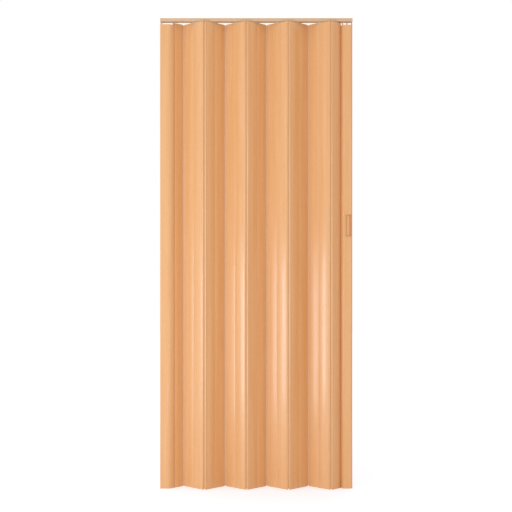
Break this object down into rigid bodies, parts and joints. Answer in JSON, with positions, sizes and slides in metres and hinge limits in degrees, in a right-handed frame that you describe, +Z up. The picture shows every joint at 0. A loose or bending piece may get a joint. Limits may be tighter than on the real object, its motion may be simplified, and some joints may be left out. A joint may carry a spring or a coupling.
{
  "type": "folding door",
  "caption": "Full-height plastic accordion door: hollow slats on flexible hinge strips, hung from a top track, with a wall profile, a lead post and a recessed handle.",
  "frame": {"origin": "middle of the doorway's width and of the track's depth, at the floor line under the door", "axes": "+Z up along the slats, +X along the track from the fixed wall profile to the strike side, -Y towards the viewer in front"},
  "size_m": [0.83, 0.0762, 2.03],
  "materials": {
    "slat_beech": "semi-gloss beech print",
    "track_beech": "satin beech",
    "hinge_beech": "soft matt",
    "nylon": "satin white",
    "screw_steel": "zinc plated",
    "steel": "bare strip",
    "magnet": "flexible magnet"
  },
  "bodies": {
    "frame": {"top_track": "track_beech", "track_cap_left": "track_beech", "track_cap_right": "track_beech", "wall_profile": "slat_beech", "strike_profile": "slat_beech", "strike_steel_strip": "steel"},
    "start_slat": {"start_slat": "slat_beech"},
    "strip_1": {"hinge_strip_1": "hinge_beech"},
    "slat_1": {"slat_1": "slat_beech", "hanger_1": "nylon", "glider_1": "nylon"},
    "strip_2": {"hinge_strip_2": "hinge_beech"},
    "slat_2": {"slat_2": "slat_beech", "hanger_2": "nylon", "glider_2": "nylon"},
    "strip_3": {"hinge_strip_3": "hinge_beech"},
    "slat_3": {"slat_3": "slat_beech", "hanger_3": "nylon", "glider_3": "nylon"},
    "strip_4": {"hinge_strip_4": "hinge_beech"},
    "slat_4": {"slat_4": "slat_beech", "hanger_4": "nylon", "glider_4": "nylon"},
    "strip_5": {"hinge_strip_5": "hinge_beech"},
    "slat_5": {"slat_5": "slat_beech", "hanger_5": "nylon", "glider_5": "nylon"},
    "strip_6": {"hinge_strip_6": "hinge_beech"},
    "slat_6": {"slat_6": "slat_beech", "hanger_6": "nylon", "glider_6": "nylon"},
    "strip_7": {"hinge_strip_7": "hinge_beech"},
    "slat_7": {"slat_7": "slat_beech", "hanger_7": "nylon", "glider_7": "nylon"},
    "strip_8": {"hinge_strip_8": "hinge_beech"},
    "lead_slat": {"lead_slat": "slat_beech"},
    "lead_post": {"lead_post": "slat_beech", "lead_hanger": "slat_beech", "lead_foot_cap": "slat_beech", "lead_gliders": "nylon", "magnet_strip": "magnet", "handle_front": "slat_beech", "handle_back": "slat_beech", "handle_screws": "screw_steel"}
  },
  "joints": [
    {"name": "start_fold", "type": "hinge", "parent": "frame", "child": "start_slat", "pos_m": [-0.36, 0, 1.006], "axis": [0, 0, 1], "range_deg": [0, 44.06]},
    {"name": "strip_1_left", "type": "hinge", "parent": "start_slat", "child": "strip_1", "pos_m": [-0.32072, 0.03407, 1.006], "axis": [0, 0, 1], "range_deg": [-44.06, 0]},
    {"name": "strip_1_right", "type": "hinge", "parent": "strip_1", "child": "slat_1", "pos_m": [-0.30872, 0.03407, 1.006], "axis": [0, 0, 1], "range_deg": [-44.06, 0]},
    {"name": "strip_2_left", "type": "hinge", "parent": "slat_1", "child": "strip_2", "pos_m": [-0.23016, -0.03407, 1.006], "axis": [0, 0, 1], "range_deg": [0, 44.06]},
    {"name": "strip_2_right", "type": "hinge", "parent": "strip_2", "child": "slat_2", "pos_m": [-0.21816, -0.03407, 1.006], "axis": [0, 0, 1], "range_deg": [0, 44.06]},
    {"name": "strip_3_left", "type": "hinge", "parent": "slat_2", "child": "strip_3", "pos_m": [-0.13959, 0.03407, 1.006], "axis": [0, 0, 1], "range_deg": [-44.06, 0]},
    {"name": "strip_3_right", "type": "hinge", "parent": "strip_3", "child": "slat_3", "pos_m": [-0.12759, 0.03407, 1.006], "axis": [0, 0, 1], "range_deg": [-44.06, 0]},
    {"name": "strip_4_left", "type": "hinge", "parent": "slat_3", "child": "strip_4", "pos_m": [-0.04903, -0.03407, 1.006], "axis": [0, 0, 1], "range_deg": [0, 44.06]},
    {"name": "strip_4_right", "type": "hinge", "parent": "strip_4", "child": "slat_4", "pos_m": [-0.03703, -0.03407, 1.006], "axis": [0, 0, 1], "range_deg": [0, 44.06]},
    {"name": "strip_5_left", "type": "hinge", "parent": "slat_4", "child": "strip_5", "pos_m": [0.04153, 0.03407, 1.006], "axis": [0, 0, 1], "range_deg": [-44.06, 0]},
    {"name": "strip_5_right", "type": "hinge", "parent": "strip_5", "child": "slat_5", "pos_m": [0.05353, 0.03407, 1.006], "axis": [0, 0, 1], "range_deg": [-44.06, 0]},
    {"name": "strip_6_left", "type": "hinge", "parent": "slat_5", "child": "strip_6", "pos_m": [0.13209, -0.03407, 1.006], "axis": [0, 0, 1], "range_deg": [0, 44.06]},
    {"name": "strip_6_right", "type": "hinge", "parent": "strip_6", "child": "slat_6", "pos_m": [0.14409, -0.03407, 1.006], "axis": [0, 0, 1], "range_deg": [0, 44.06]},
    {"name": "strip_7_left", "type": "hinge", "parent": "slat_6", "child": "strip_7", "pos_m": [0.22266, 0.03407, 1.006], "axis": [0, 0, 1], "range_deg": [-44.06, 0]},
    {"name": "strip_7_right", "type": "hinge", "parent": "strip_7", "child": "slat_7", "pos_m": [0.23466, 0.03407, 1.006], "axis": [0, 0, 1], "range_deg": [-44.06, 0]},
    {"name": "strip_8_left", "type": "hinge", "parent": "slat_7", "child": "strip_8", "pos_m": [0.31322, -0.03407, 1.006], "axis": [0, 0, 1], "range_deg": [0, 44.06]},
    {"name": "strip_8_right", "type": "hinge", "parent": "strip_8", "child": "lead_slat", "pos_m": [0.32522, -0.03407, 1.006], "axis": [0, 0, 1], "range_deg": [0, 44.06]},
    {"name": "post_fold", "type": "hinge", "parent": "lead_slat", "child": "lead_post", "pos_m": [0.3645, 0, 1.006], "axis": [0, 0, 1], "range_deg": [-44.06, 0]}
  ],
  "couplings": [
    {"joint": "strip_1_left", "follows": "start_fold", "ratio": -1},
    {"joint": "strip_1_right", "follows": "start_fold", "ratio": -1},
    {"joint": "strip_2_left", "follows": "start_fold", "ratio": 1},
    {"joint": "strip_2_right", "follows": "start_fold", "ratio": 1},
    {"joint": "strip_3_left", "follows": "start_fold", "ratio": -1},
    {"joint": "strip_3_right", "follows": "start_fold", "ratio": -1},
    {"joint": "strip_4_left", "follows": "start_fold", "ratio": 1},
    {"joint": "strip_4_right", "follows": "start_fold", "ratio": 1},
    {"joint": "strip_5_left", "follows": "start_fold", "ratio": -1},
    {"joint": "strip_5_right", "follows": "start_fold", "ratio": -1},
    {"joint": "strip_6_left", "follows": "start_fold", "ratio": 1},
    {"joint": "strip_6_right", "follows": "start_fold", "ratio": 1},
    {"joint": "strip_7_left", "follows": "start_fold", "ratio": -1},
    {"joint": "strip_7_right", "follows": "start_fold", "ratio": -1},
    {"joint": "strip_8_left", "follows": "start_fold", "ratio": 1},
    {"joint": "strip_8_right", "follows": "start_fold", "ratio": 1},
    {"joint": "post_fold", "follows": "start_fold", "ratio": -1}
  ]
}
